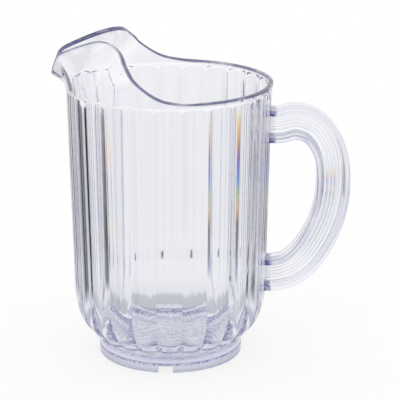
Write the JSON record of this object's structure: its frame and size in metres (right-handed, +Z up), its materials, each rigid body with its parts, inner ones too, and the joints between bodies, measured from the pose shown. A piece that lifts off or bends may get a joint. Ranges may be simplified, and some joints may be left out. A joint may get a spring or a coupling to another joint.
{
  "type": "pitcher",
  "caption": "Clear fluted plastic pitcher with a hooded pouring beak, a ribbed loop handle and a notched foot ring, for serving cold drinks.",
  "frame": {"origin": "on the table under the middle of the pitcher's overall length and width", "axes": "+Z up, -X towards the pouring beak, +X towards the handle, +Y across; the part is its own mirror image in the XZ plane"},
  "size_m": [0.1936, 0.1342, 0.2135],
  "materials": {
    "clear_body": "clear, polished",
    "clear_foot": "clear, polished",
    "clear_handle": "clear, polished"
  },
  "bodies": {
    "root": {"body": "clear_body", "foot_ring": "clear_foot", "handle": "clear_handle"}
  },
  "joints": []
}
